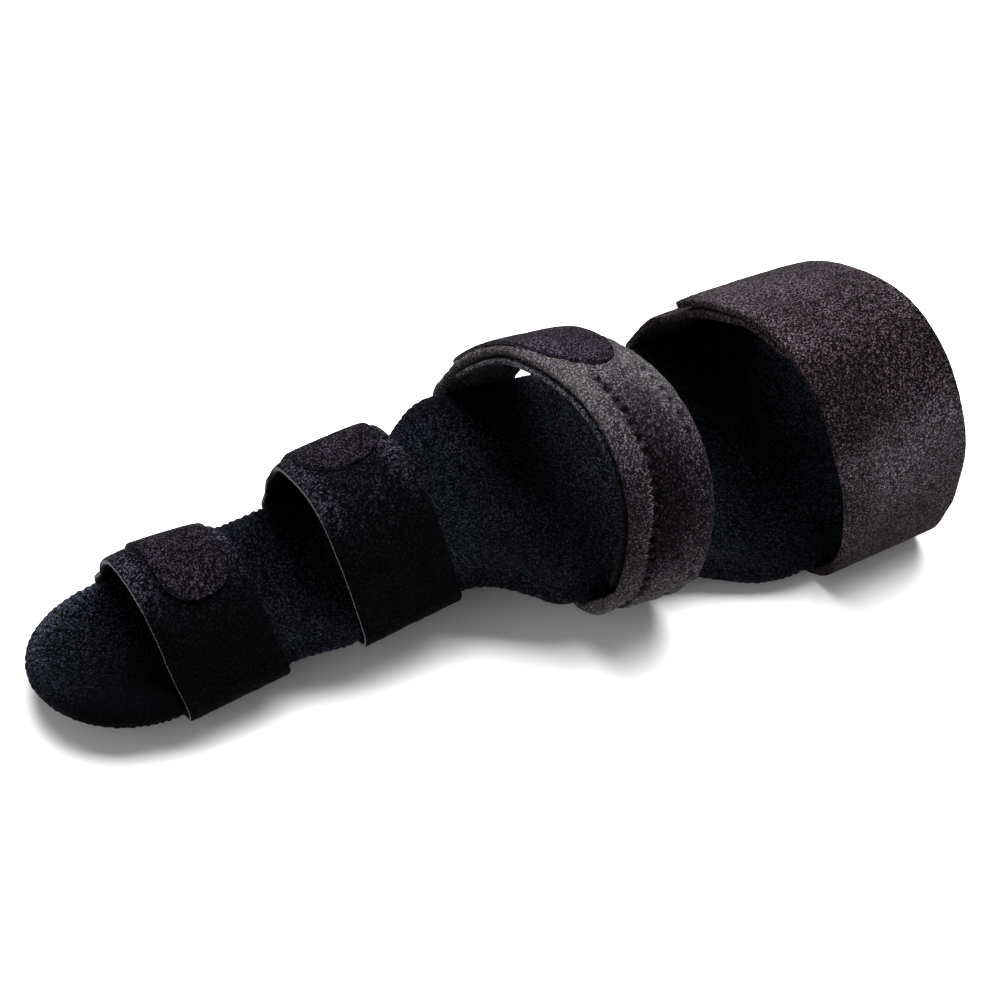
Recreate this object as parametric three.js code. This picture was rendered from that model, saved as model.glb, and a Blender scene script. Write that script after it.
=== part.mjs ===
// A hand and finger splint: a padded tray carries two fingers, the palm and the wrist, and four
// hook-and-loop straps close over it. Millimetres. +X points to the elbow, +Y to the little
// finger's side and +Z up. The underside of the wrist strap lies flat on z = 0.
import * as THREE from "three";

const { clamp, degToRad, lerp, smoothstep } = THREE.MathUtils;

// Tray lengths along its underside, counted from the fingertip end
const FINGER_LENGTH = 100;
const PALM_LENGTH = 54;
const FOREARM_LENGTH = 45;
const TRAY_LENGTH = FINGER_LENGTH + PALM_LENGTH + FOREARM_LENGTH;
const TRAY_THICKNESS = 7;
const TRAY_DISH = 1.8; // how far the padding sinks between its rolled edges
const NOSE_LENGTH = 23.4; // half ellipse of the fingertip end
const TIP_CURL = 3.5; // rise of the fingertip end
const TIP_CURL_REACH = 34; // distance from the tip at which the rise begins
const HEEL_RADIUS = 12; // rounded corners of the elbow end
const TRAY_STEP = 4; // spacing of its sections

// Bends pressed into the tray: slopes in degrees, rising towards the elbow
const FINGER_SLOPE = 6.6;
const PALM_SLOPE = -12.6;
const BEND_REACH = 8; // half the length of each bend
const FINGER_ROLL = -10; // the little finger's side of the finger part lies lower

// Edges of the tray: distance along it, reach to the thumb's side and to the little finger's side
const TRAY_EDGES = [
  { at: 0, near: -20.6, far: 19.4 },
  { at: 49, near: -20.6, far: 19.4 },
  { at: 62, near: -23, far: 19 },
  { at: 87, near: -23, far: 19 },
  { at: 107, near: -33, far: 27 },
  { at: 133, near: -33, far: 27 },
  { at: 163, near: -43, far: 26 },
  { at: TRAY_LENGTH, near: -43, far: 26 },
];

// Cloth thicknesses, and the gap kept between pieces that touch
const GAP = 0.3;
const FINGER_CLOTH = 1.5;
const HAND_CLOTH = 2.6;
const WRIST_CLOTH = 2;
const LINING_CLOTH = 1;
const TAB_CLOTH = 1.1;
const PATCH_CLOTH = 0.6;

// Height that a second layer adds over a first one
const FINGER_LAYER = FINGER_CLOTH + GAP;
const HAND_LAYER = HAND_CLOTH + GAP;
const WRIST_LAYER = WRIST_CLOTH + GAP;
const PATCHED_LAYER = WRIST_LAYER + PATCH_CLOTH + GAP;

const LEAN_LEVEL = 15; // height at which a leaning strap stands over its station
const BAND_STEP = 1.6; // spacing of the facets along a strap
const TAB_STEP = 1; // and along a tab
const EDGE_ROUND = 0.35; // share of a cloth's thickness that its cut edge is rounded by

// Straps: station along the tray, width, lean towards the elbow for each mm of height, and the
// rounds that shape the loop's inner face above the tray: place across, height and radius
const STRAPS = {
  distal: {
    station: 34.9,
    width: 23,
    lean: -0.06,
    rounds: [
      { y: -4.2, z: 16, r: 8.4 },
      { y: 0.7, z: 15.7, r: 8.5 },
    ],
  },
  proximal: {
    station: 74.3,
    width: 23,
    lean: -0.06,
    rounds: [
      { y: -8.2, z: 22.3, r: 9.5 },
      { y: 1.5, z: 25.3, r: 4.6 },
    ],
  },
  hand: {
    station: 120,
    width: 23,
    lean: -0.2,
    rounds: [
      { y: -27.5, z: 9.5, r: 9.8 },
      { y: -30.6, z: 14.6, r: 7.4 },
      { y: -18.1, z: 25.6, r: 21.2 },
      { y: 2.5, z: 26.8, r: 10.4 },
      { y: 12, z: 14.5, r: 9 },
    ],
  },
  wrist: {
    station: 182,
    width: 34,
    lean: -0.06,
    rounds: [
      { y: -37.5, z: 9, r: 9.3 },
      { y: -22.2, z: 29, r: 24.5 },
      { y: -2.3, z: 22.5, r: 17 },
    ],
  },
};

// Courses of the bands round their loops. at: mm from the crown, less than 0 on the little
// finger's side. turn: 1 for a second pass. lift: height of the inner face over the band's level.
const COURSES = {
  distalStrap: [
    { at: -21, turn: 0, lift: 0 },
    { at: -24, turn: 1, lift: 0 },
  ],
  distalTab: [
    { at: -33, turn: 0, lift: 0 },
    { at: 7.6, turn: 0, lift: 0 },
  ],
  proximalStrap: [
    { at: -24, turn: 0, lift: 0 },
    { at: -27, turn: 1, lift: 0 },
  ],
  proximalTab: [
    { at: -37, turn: 0, lift: 0 },
    { at: -0.7, turn: 0, lift: 0 },
  ],
  handStrap: [
    { at: -40, turn: 0, lift: 0 },
    { at: -44, turn: 1, lift: 0 },
  ],
  handLining: [
    { at: -38, turn: 0, lift: 0 },
    { at: 42, turn: 0, lift: 0 },
  ],
  handTab: [
    { at: -58, turn: 0, lift: 0 },
    { at: -7.2, turn: 0, lift: 0 },
  ],
  wristStrap: [
    { at: -52, turn: 0, lift: 0 },
    { at: -74, turn: 1, lift: 0 },
    { at: -54, turn: 1, lift: -PATCHED_LAYER },
    { at: -24, turn: 1, lift: -PATCHED_LAYER },
    { at: -16, turn: 1, lift: -WRIST_LAYER },
    { at: -1.5, turn: 1, lift: -WRIST_LAYER },
  ],
  wristPatch: [
    { at: -46, turn: 0, lift: 0 },
    { at: -26, turn: 0, lift: 0 },
  ],
};

const BLACK_LOOP = { color: 0x1b1b1e, roughness: 0.95, metalness: 0 };
const DARK_KNIT = { color: 0x2a2629, roughness: 0.9, metalness: 0 };
const GREY_FOAM = { color: 0x5b5b5e, roughness: 0.95, metalness: 0 };

// The tray's slope and roll, in radians, at a distance along its underside.
function bendAt(at) {
  const wrist = FINGER_LENGTH + PALM_LENGTH;
  const knuckle = smoothstep(at, FINGER_LENGTH - BEND_REACH, FINGER_LENGTH + BEND_REACH);
  const level = smoothstep(at, wrist - BEND_REACH, wrist + BEND_REACH);
  const slope = lerp(FINGER_SLOPE, PALM_SLOPE, knuckle) - level * PALM_SLOPE;
  return { slope: degToRad(slope), roll: degToRad(FINGER_ROLL * (1 - knuckle)) };
}

// The middle of the tray's underside, a point for each mm. Its end rests on the wrist strap.
function traceSpine() {
  const points = [new THREE.Vector3()];
  for (let at = 0; at < TRAY_LENGTH; at++) {
    const { slope } = bendAt(at + 0.5);
    const step = new THREE.Vector3(Math.cos(slope), 0, Math.sin(slope));
    points.push(step.add(points[at]));
  }
  const lift = WRIST_CLOTH + GAP - points[TRAY_LENGTH].z;
  return points.map((point) => point.setZ(point.z + lift));
}

const SPINE = traceSpine();

// The frame that travels along the tray: X along it, Y across it and Z out of its upper face.
function frameAt(at) {
  const { slope, roll } = bendAt(at);
  const from = clamp(Math.floor(at), 0, TRAY_LENGTH - 1);
  const place = SPINE[from].clone().lerp(SPINE[from + 1], at - from);
  const frame = new THREE.Matrix4().makeRotationY(-slope);
  frame.multiply(new THREE.Matrix4().makeRotationX(roll));
  return frame.setPosition(place);
}

// The two rows of a table that a distance lies between.
function rowsAround(table, at) {
  const next = clamp(table.filter((row) => row.at <= at).length, 1, table.length - 1);
  return [table[next - 1], table[next]];
}

// The tray's two edges at a distance along it, eased from one row of the table to the next.
function trayEdgesAt(at) {
  const [a, b] = rowsAround(TRAY_EDGES, at);
  const ease = smoothstep(at, a.at, b.at);
  return { near: lerp(a.near, b.near, ease), far: lerp(a.far, b.far, ease) };
}

// What a quarter circle of this radius takes off at a distance from its end.
function roundOff(distance, radius) {
  const left = 1 - clamp(distance / radius, 0, 1);
  return radius * (1 - Math.sqrt(1 - left * left));
}

// A closed body through rings of points, with a flat fan over its first and last ring.
function loft(rings) {
  const count = rings[0].length;
  const index = [];
  for (let row = 0; row + 1 < rings.length; row++) {
    for (let k = 0; k < count; k++) {
      const a = row * count + k;
      const b = row * count + ((k + 1) % count);
      index.push(a, b, b + count, a, b + count, a + count);
    }
  }
  const last = (rings.length - 1) * count;
  for (let k = 1; k + 1 < count; k++) {
    index.push(0, k + 1, k, last, last + k, last + k + 1);
  }
  const geometry = new THREE.BufferGeometry().setFromPoints(rings.flat());
  geometry.setIndex(index);
  geometry.computeVertexNormals();
  return geometry;
}

function meshOf(name, geometry, finish) {
  const mesh = new THREE.Mesh(geometry, new THREE.MeshStandardMaterial(finish));
  mesh.name = name;
  return mesh;
}

// One section of the tray: a flat underside, two round edges and a dished upper face.
function traySection(at) {
  const { near, far } = trayEdgesAt(at);
  const nose = 1 - roundOff(at, NOSE_LENGTH) / NOSE_LENGTH;
  const half = ((far - near) / 2 - roundOff(TRAY_LENGTH - at, HEEL_RADIUS)) * nose;
  const middle = (near + far) / 2;
  const level = TRAY_THICKNESS / 2;
  const r = Math.min(level - roundOff(Math.min(at, TRAY_LENGTH - at), level), half);
  const flat = half - r;
  const ring = [];
  const curl = TIP_CURL * (1 - clamp(at / TIP_CURL_REACH, 0, 1)) ** 2;
  const add = (y, z) => ring.push(new THREE.Vector3(0, middle + y, level + z + curl));
  for (let k = -4; k <= 4; k++) {
    const angle = (k * Math.PI) / 8;
    add(flat + r * Math.cos(angle), r * Math.sin(angle));
  }
  for (let k = 1; k < 10; k++) {
    const v = 1 - k / 5;
    const dish = (TRAY_DISH * (1 - v * v) * r) / level;
    add(v * flat, r - dish);
  }
  for (let k = 4; k <= 12; k++) {
    const angle = (k * Math.PI) / 8;
    add(-flat + r * Math.cos(angle), r * Math.sin(angle));
  }
  add(-flat / 2, -r);
  add(flat / 2, -r);
  const frame = frameAt(at);
  return ring.map((point) => point.applyMatrix4(frame));
}

// Stations of the tray's sections: close together round its two ends, even between them.
function trayStations() {
  const stations = [];
  const turns = [0.04, 0.1, 0.2, 0.3, 0.4, 0.5, 0.6, 0.7, 0.8, 0.9];
  const share = (turn) => 1 - Math.cos((turn * Math.PI) / 2);
  for (const turn of turns) stations.push(NOSE_LENGTH * share(turn));
  for (let at = NOSE_LENGTH; at < TRAY_LENGTH - HEEL_RADIUS; at += TRAY_STEP) stations.push(at);
  for (const turn of turns.toReversed()) stations.push(TRAY_LENGTH - HEEL_RADIUS * share(turn));
  return stations;
}

// The taut loop of a strap round its rounds and the tray's edges, at a level over its inner face.
// In each direction the round that reaches furthest carries the loop. It starts at the crown.
function beltOf(strap, level) {
  const { near, far } = trayEdgesAt(strap.station);
  const edge = TRAY_THICKNESS / 2;
  const trayRounds = [
    { y: near + edge, z: edge, r: edge + GAP },
    { y: far - edge, z: edge, r: edge + GAP },
  ];
  const rounds = [...strap.rounds, ...trayRounds];
  const steps = 360;
  const marks = [];
  for (let k = 0; k <= steps; k++) {
    const angle = Math.PI / 2 + (k * 2 * Math.PI) / steps;
    const out = new THREE.Vector2(Math.cos(angle), Math.sin(angle));
    const reach = (round) => round.y * out.x + round.z * out.y + round.r;
    const carrier = rounds.reduce((a, b) => (reach(b) > reach(a) ? b : a));
    const point = new THREE.Vector2(carrier.y, carrier.z).addScaledVector(out, carrier.r + level);
    const before = marks.at(-1);
    const at = before ? before.at + point.distanceTo(before.point) : 0;
    marks.push({ at, point, out });
  }
  return marks;
}

// The point of a belt at a distance from its crown, lifted along the way out.
function onBelt(belt, at, lift) {
  const length = belt.at(-1).at;
  const wrapped = THREE.MathUtils.euclideanModulo(at, length);
  const [a, b] = rowsAround(belt, wrapped);
  const share = (wrapped - a.at) / (b.at - a.at);
  const out = a.out.clone().lerp(b.out, share).normalize();
  return a.point.clone().lerp(b.point, share).addScaledVector(out, lift);
}

// The lift of a course at a distance along it, eased between its rows.
function liftOf(course, at) {
  const [a, b] = rowsAround(course, at);
  return lerp(a.lift, b.lift, smoothstep(at, a.at, b.at));
}

// A flat band of cloth along a course round a strap's loop. level: height over the loop's inner
// face. shift and skew: its place across the strap, and the drift of that place for each mm.
// corners: radii of the rounded end on its fingertip side and its elbow side.
function band({ strap, course, level = 0, width, thickness, step = BAND_STEP, ...shape }) {
  const { shift = 0, skew = 0, corners = [0.01, 0.01] } = shape;
  const belt = beltOf(strap, level);
  const length = belt.at(-1).at;
  const rows = course.map(({ at, turn, lift }) => ({ at: at + turn * length, lift }));
  const start = rows[0].at;
  const end = rows.at(-1).at;
  const count = Math.ceil((end - start) / step);
  const round = EDGE_ROUND * thickness;
  const rings = [];
  for (let k = 0; k <= count; k++) {
    const at = lerp(start, end, k / count);
    const lift = liftOf(rows, at);
    const middle = shift + skew * (at - end);
    const low = middle - width / 2 + roundOff(end - at, corners[0]);
    const high = middle + width / 2 - roundOff(end - at, corners[1]);
    const section = [
      [high - round, 0],
      [high, thickness / 2],
      [high - round, thickness],
      [low + round, thickness],
      [low, thickness / 2],
      [low + round, 0],
    ];
    const ring = section.map(([x, height]) => {
      const { x: y, y: z } = onBelt(belt, at, lift + height);
      return new THREE.Vector3(x + strap.lean * (z - LEAN_LEVEL), y, z);
    });
    rings.push(ring);
  }
  return loft(rings);
}

// A band as a mesh that stands in the tray's frame at its strap's station.
function bandMesh(name, finish, options) {
  const mesh = meshOf(name, band(options), finish);
  mesh.applyMatrix4(frameAt(options.strap.station));
  return mesh;
}

// A whole strap of loop-faced cloth.
function strapMesh(name, strap, course, thickness) {
  return bandMesh(name, BLACK_LOOP, { strap, course, width: strap.width, thickness });
}

// A knitted hook tab lying on a strap.
function tabMesh(name, strap, course, level, shape) {
  const cloth = { thickness: TAB_CLOTH, step: TAB_STEP };
  return bandMesh(name, DARK_KNIT, { strap, course, level, ...cloth, ...shape });
}

function bodyMesh() {
  return meshOf("splint_body", loft(trayStations().map(traySection)), BLACK_LOOP);
}

function liningMesh() {
  return bandMesh("hand_strap_lining", GREY_FOAM, {
    strap: STRAPS.hand,
    course: COURSES.handLining,
    level: -LINING_CLOTH - GAP,
    width: STRAPS.hand.width,
    thickness: LINING_CLOTH,
    shift: -1.2,
  });
}

function patchMesh() {
  return bandMesh("wrist_hook_patch", DARK_KNIT, {
    strap: STRAPS.wrist,
    course: COURSES.wristPatch,
    level: -PATCH_CLOTH - GAP,
    width: STRAPS.wrist.width - 5,
    thickness: PATCH_CLOTH,
  });
}

const { distal, proximal, hand, wrist } = STRAPS;
const splint = new THREE.Group();
splint.add(
  bodyMesh(),
  strapMesh("distal_finger_strap", distal, COURSES.distalStrap, FINGER_CLOTH),
  tabMesh("distal_hook_tab", distal, COURSES.distalTab, FINGER_LAYER, {
    width: 16,
    shift: 0.5,
    skew: -0.11,
    corners: [6, 6],
  }),
  strapMesh("proximal_finger_strap", proximal, COURSES.proximalStrap, FINGER_CLOTH),
  tabMesh("proximal_hook_tab", proximal, COURSES.proximalTab, FINGER_LAYER, {
    width: 18,
    shift: 0.75,
    corners: [8, 8],
  }),
  strapMesh("hand_strap", hand, COURSES.handStrap, HAND_CLOTH),
  liningMesh(),
  tabMesh("hand_hook_tab", hand, COURSES.handTab, HAND_LAYER, {
    width: 19,
    shift: 0.5,
    corners: [11, 7],
  }),
  strapMesh("wrist_strap", wrist, COURSES.wristStrap, WRIST_CLOTH),
  patchMesh(),
);

// The origin is the middle of the splint's outline on the surface that it rests on.
const box = new THREE.Box3().setFromObject(splint, true);
const centre = box.getCenter(new THREE.Vector3());
splint.position.set(-centre.x, -centre.y, -box.min.z);

export default splint;
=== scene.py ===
import bmesh
import bpy
import numpy as np
from mathutils import Matrix


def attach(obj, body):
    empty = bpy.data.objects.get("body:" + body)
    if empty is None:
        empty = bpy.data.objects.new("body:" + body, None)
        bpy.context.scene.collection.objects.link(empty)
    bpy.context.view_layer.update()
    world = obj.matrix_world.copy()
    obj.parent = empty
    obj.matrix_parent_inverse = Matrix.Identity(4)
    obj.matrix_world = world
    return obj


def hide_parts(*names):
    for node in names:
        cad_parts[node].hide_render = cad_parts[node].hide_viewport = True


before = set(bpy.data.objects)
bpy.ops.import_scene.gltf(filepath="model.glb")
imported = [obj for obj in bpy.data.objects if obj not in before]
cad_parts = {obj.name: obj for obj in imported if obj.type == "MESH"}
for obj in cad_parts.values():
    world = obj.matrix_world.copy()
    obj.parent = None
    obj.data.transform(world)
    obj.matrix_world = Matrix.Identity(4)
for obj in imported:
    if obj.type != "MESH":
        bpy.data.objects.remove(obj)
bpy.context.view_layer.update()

# The view and the light: a long lens looks down on the splint from the fingertip end, and the
# splint stands on a plain white sweep under a broad overhead lamp with two weaker ones.
MM = 0.001
VIEW_AZIMUTH = -42.32
VIEW_ELEVATION = 50.94
VIEW_ROLL = 13.19
VIEW_DISTANCE = 640.0
VIEW_AIM = (13.934, 11.035, 7.224)
LENS = 105.05
SENSOR_WIDTH = 36.0
NEAREST_SEEN = 0.01
FURTHEST_SEEN = 20.0
FLOOR_HALF = 1500.0
FLOOR_COLOUR = (0.93, 0.93, 0.93, 1.0)
FLOOR_ROUGHNESS = 0.8
SKY_COLOUR = (1.0, 1.0, 1.0, 1.0)
SKY_STRENGTH = 0.24
# Azimuth, elevation, distance, width and power of each lamp
LAMPS = {
    "overhead_lamp": (150.0, 73.0, 900.0, 800.0, 24.0),
    "side_lamp": (-75.0, 38.0, 1000.0, 600.0, 1.5),
    "front_lamp": (20.0, 30.0, 1100.0, 700.0, 0.6),
}


def view_axes(azimuth, elevation, roll):
    """Right, up and back of a camera or lamp. Back points from the splint to it at that azimuth and
    elevation; right starts level and is turned about back by the roll; up is square to both."""
    a, e, r = np.radians([azimuth, elevation, roll])
    back = np.array([np.sin(a) * np.cos(e), -np.cos(a) * np.cos(e), np.sin(e)])
    level = np.array([np.cos(a), np.sin(a), 0.0])
    right = np.cos(r) * level + np.sin(r) * np.cross(back, level)
    return right, np.cross(back, right), back


def placed(azimuth, elevation, roll, distance):
    """The matrix of something that looks at the aim from that side and that far away."""
    right, up, back = view_axes(azimuth, elevation, roll)
    place = np.eye(4)
    place[:3, :3] = np.column_stack([right, up, back])
    place[:3, 3] = MM * (np.array(VIEW_AIM) + distance * back)
    return Matrix(place.tolist())


def linked(name, data):
    """A new object of that name in the scene."""
    made = bpy.data.objects.new(name, data)
    bpy.context.scene.collection.objects.link(made)
    return made


camera = linked("camera", bpy.data.cameras.new("camera"))
camera.data.sensor_width = SENSOR_WIDTH
camera.data.lens = LENS
camera.data.clip_start = NEAREST_SEEN
camera.data.clip_end = FURTHEST_SEEN
camera.matrix_world = placed(VIEW_AZIMUTH, VIEW_ELEVATION, VIEW_ROLL, VIEW_DISTANCE)
bpy.context.scene.camera = camera
bpy.context.scene.view_settings.view_transform = "Standard"

for lamp_name, (azimuth, elevation, distance, width, power) in LAMPS.items():
    lamp = linked(lamp_name, bpy.data.lights.new(lamp_name, "AREA"))
    lamp.data.size = MM * width
    lamp.data.energy = power
    lamp.matrix_world = placed(azimuth, elevation, 0.0, distance)


def shade(tree, kind, inputs, **settings):
    """Adds one shader node. Inputs map a socket's name or number to a value or to a node's output."""
    node = tree.nodes.new(kind)
    for name, value in settings.items():
        setattr(node, name, value)
    for socket, value in inputs.items():
        if isinstance(value, bpy.types.NodeSocket):
            tree.links.new(value, node.inputs[socket])
        else:
            node.inputs[socket].default_value = value
    return node


def empty_material(name):
    """A material with nothing but its output node, which is returned with its tree."""
    made = bpy.data.materials.new(name)
    made.use_nodes = True
    made.node_tree.nodes.clear()
    return made, made.node_tree, made.node_tree.nodes.new("ShaderNodeOutputMaterial")


sky = bpy.data.worlds.new("sky")
sky.use_nodes = True
sky.node_tree.nodes["Background"].inputs["Color"].default_value = SKY_COLOUR
sky.node_tree.nodes["Background"].inputs["Strength"].default_value = SKY_STRENGTH
bpy.context.scene.world = sky

floor_reach = MM * FLOOR_HALF
floor_mesh = bpy.data.meshes.new("floor")
floor_corners = [(-1, -1), (1, -1), (1, 1), (-1, 1)]
floor_points = [(x * floor_reach, y * floor_reach, 0.0) for x, y in floor_corners]
floor_mesh.from_pydata(floor_points, [], [(0, 1, 2, 3)])
floor = linked("floor", floor_mesh)
floor_material, floor_tree, floor_out = empty_material("white_sweep")
floor_look = {"Base Color": FLOOR_COLOUR, "Roughness": FLOOR_ROUGHNESS}
floor_shader = shade(floor_tree, "ShaderNodeBsdfPrincipled", floor_look)
floor_tree.links.new(floor_shader.outputs[0], floor_out.inputs["Surface"])
floor_mesh.materials.append(floor_material)

# The tray: a malleable core between two layers of foam, covered in black brushed loop cloth. It is
# bent for the knuckles and the wrist and dished like a spoon, and the cloth is gathered over its rim.
GAP = 0.3
WRIST_CLOTH = 2.0
FINGER_LENGTH = 100.0
PALM_LENGTH = 54.0
TRAY_LENGTH = 199.0
TRAY_THICKNESS = 7.0
TRAY_DISH = 1.8
NOSE_LENGTH = 23.4
TIP_CURL = 3.5
TIP_CURL_REACH = 34.0
HEEL_RADIUS = 12.0
RIDGE_END = 179.0
FINGER_SLOPE = 6.6
PALM_SLOPE = -12.6
BEND_REACH = 8.0
FINGER_ROLL = -10.0
PART_SHIFT = np.array([-98.668, 9.455, 0.0])
# Distance along the tray, reach to the thumb's side and to the little finger's side
TRAY_EDGES = np.array(
    [
        (0.0, -20.6, 19.4),
        (49.0, -20.6, 19.4),
        (62.0, -23.0, 19.0),
        (87.0, -23.0, 19.0),
        (107.0, -33.0, 27.0),
        (133.0, -33.0, 27.0),
        (163.0, -43.0, 26.0),
        (199.0, -43.0, 26.0),
    ]
)
# Mesh: step round the outline, length of the nose's curve, and points of the heel and of a section
RIM_STEP = 0.34
NOSE_CURVE = 36.0
HEEL_POINTS = 44
TOP_POINTS = 34
TOP_CROWDING = 1.15
RIM_POINTS = 15
UNDER_POINTS = 12
# The gathers: pitch, depth and reach from the rim in mm; as shares of its radius, where they start to fade
# and how much sooner they do below it; their wander in radians and their height, with its changes
GATHER_PITCH = 1.7
GATHER_DEPTH = 0.13
GATHER_REACH = 6.0
GATHER_FADE = 0.4
GATHER_LOWER = 0.5
GATHER_WANDER = 2.6
WANDER_SPREAD = 4.0
FOLD_HEIGHT = 0.9
FOLD_CHANGE = 0.6
FOLD_SPREAD = 3.0
# The nap: size and height of its tufts, height and spread of the swell under them, and how far apart on
# the random hills the two faces lie
TRAY_TUFT = 0.8
TRAY_NAP = 0.11
TRAY_SWELL = 0.22
SWELL_SPREAD = 13.0
UNDERSIDE_APART = 1000.0
# Painted light on the rim, brightest on the little finger's side near the tip: most, least as a share of
# it, reach from the rim, part played by the folds (painted light on their crests, painted shade in their
# hollows), and the places across and along between which it comes and goes
RIM_PAINTED_HIGHLIGHT = 3.2
RIM_SHADE = 0.06
RIM_REACH = (0.5, 6.0)
FOLD_PAINTED_LIGHT = 0.5
LIT_ACROSS = (-15.0, 4.0)
LIT_ALONG = (12.0, 40.0)
# Place across the fingertip end and the painted light there, painted shade on the thumb's side and painted
# light on the little finger's side, and where along the tray this fades
TIP_PAINTED_LIGHT = np.array([(-20.0, 0.1), (-13.0, 0.12), (-6.0, 0.55), (2.0, 1.1), (10.0, 1.5), (16.0, 2.0)])
TIP_FADE = (30.0, 45.0)
SAME_PLACE = 1e-6


def eased(x, start, end):
    """Smooth step: 3 t squared less 2 t cubed, where t is the share of the way from start to end."""
    share = np.clip((x - start) / (end - start), 0.0, 1.0)
    return share * share * (3.0 - 2.0 * share)


def uneven(a, b, cell, seed):
    """Soft random hills from -1 to 1: random heights on a square lattice, eased between its corners."""
    size = 512
    heights = np.random.default_rng(seed).uniform(-1.0, 1.0, (size, size))
    a, b = np.broadcast_arrays(np.asarray(a, float) / cell, np.asarray(b, float) / cell)
    row = np.floor(a).astype(int)
    column = np.floor(b).astype(int)
    down = eased(a - row, 0.0, 1.0)
    over = eased(b - column, 0.0, 1.0)
    left = column % size
    right = (column + 1) % size
    first = heights[row % size, left] * (1 - over) + heights[row % size, right] * over
    below = (row + 1) % size
    second = heights[below, left] * (1 - over) + heights[below, right] * over
    return first * (1 - down) + second * down


def tray_bend(at):
    """Slope and roll, in radians, at a distance along the tray: the slope eases from the finger part's to
    the palm's at the knuckles and to level at the wrist, and the roll ends at the knuckles."""
    wrist_at = FINGER_LENGTH + PALM_LENGTH
    knuckle = eased(at, FINGER_LENGTH - BEND_REACH, FINGER_LENGTH + BEND_REACH)
    level = eased(at, wrist_at - BEND_REACH, wrist_at + BEND_REACH)
    slope = FINGER_SLOPE + (PALM_SLOPE - FINGER_SLOPE) * knuckle - PALM_SLOPE * level
    return np.radians(slope), np.radians(FINGER_ROLL * (1.0 - knuckle))


# The middle of the tray's underside for each mm along it: the sums of its slope's cosine and sine
SPINE_MARKS = np.arange(TRAY_LENGTH + 1.0)
spine_slopes = tray_bend(SPINE_MARKS[:-1] + 0.5)[0]
SPINE_X = np.concatenate([[0.0], np.cumsum(np.cos(spine_slopes))])
SPINE_Z = np.concatenate([[0.0], np.cumsum(np.sin(spine_slopes))])
SPINE_Z += WRIST_CLOTH + GAP - SPINE_Z[-1]


def on_tray(at, forward, across, height):
    """Points, in metres, of the frame that travels along the tray: its place on the spine plus forward
    along the slope, across at the roll and height square to both."""
    slope, roll = tray_bend(at)
    kept = np.clip(at, 0.0, TRAY_LENGTH)
    forward = forward + at - kept
    rise = across * np.sin(roll) + height * np.cos(roll)
    x = np.interp(kept, SPINE_MARKS, SPINE_X) + forward * np.cos(slope) - rise * np.sin(slope)
    y = across * np.cos(roll) - height * np.sin(roll)
    z = np.interp(kept, SPINE_MARKS, SPINE_Z) + forward * np.sin(slope) + rise * np.cos(slope)
    return MM * (np.stack(np.broadcast_arrays(x, y, z), axis=-1) + PART_SHIFT)


def tray_edges(at):
    """Reach of the tray to the thumb's side and to the little finger's side, eased between the rows."""
    after = np.clip(np.searchsorted(TRAY_EDGES[:, 0], at, side="right"), 1, len(TRAY_EDGES) - 1)
    a = TRAY_EDGES[after - 1]
    b = TRAY_EDGES[after]
    share = eased(at, a[..., 0], b[..., 0])
    return a[..., 1] + (b[..., 1] - a[..., 1]) * share, a[..., 2] + (b[..., 2] - a[..., 2]) * share


def round_off(distance, radius):
    """What a quarter circle takes off at a distance from its end."""
    left = 1.0 - np.clip(distance / radius, 0.0, 1.0)
    return radius * (1.0 - np.sqrt(1.0 - left * left))


def tray_outline():
    """The tray's outline from the middle of its heel round the thumb's side, the tip and the little
    finger's side: distance along and across. Both sides share their distances along."""
    turns = np.linspace(0.0, np.pi / 2, int(NOSE_CURVE / RIM_STEP))
    nose = NOSE_LENGTH * (1.0 - np.cos(turns))
    heel = TRAY_LENGTH - HEEL_RADIUS * (1.0 - np.cos(np.linspace(np.pi / 2, 0.0, HEEL_POINTS)))
    middle = np.arange(NOSE_LENGTH, TRAY_LENGTH - HEEL_RADIUS, RIM_STEP)
    at = np.concatenate([nose[:-1], middle, heel])
    near, far = tray_edges(at)
    tip = np.sqrt(np.clip(1.0 - (1.0 - at / NOSE_LENGTH) ** 2, 0.0, 1.0))
    tip = np.where(at < NOSE_LENGTH, tip, 1.0)
    half = ((far - near) / 2 - round_off(TRAY_LENGTH - at, HEEL_RADIUS)) * tip
    centre = (near + far) / 2
    end_across = np.arange(0.0, half[-1], RIM_STEP)
    along = np.concatenate([np.full(len(end_across), TRAY_LENGTH), at[::-1], at[1:]])
    across = np.concatenate([centre[-1] - end_across, (centre - half)[::-1], (centre + half)[1:]])
    far_end = end_across[:0:-1]
    along = np.concatenate([along, np.full(len(far_end), TRAY_LENGTH)])
    across = np.concatenate([across, centre[-1] + far_end])
    return along, across


def over_section(parts, values):
    """A value for each place over a section, from one value or a row of values for each of its parts."""
    return np.concatenate([np.broadcast_to(value, part.shape) for part, value in zip(parts, values)])


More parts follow.
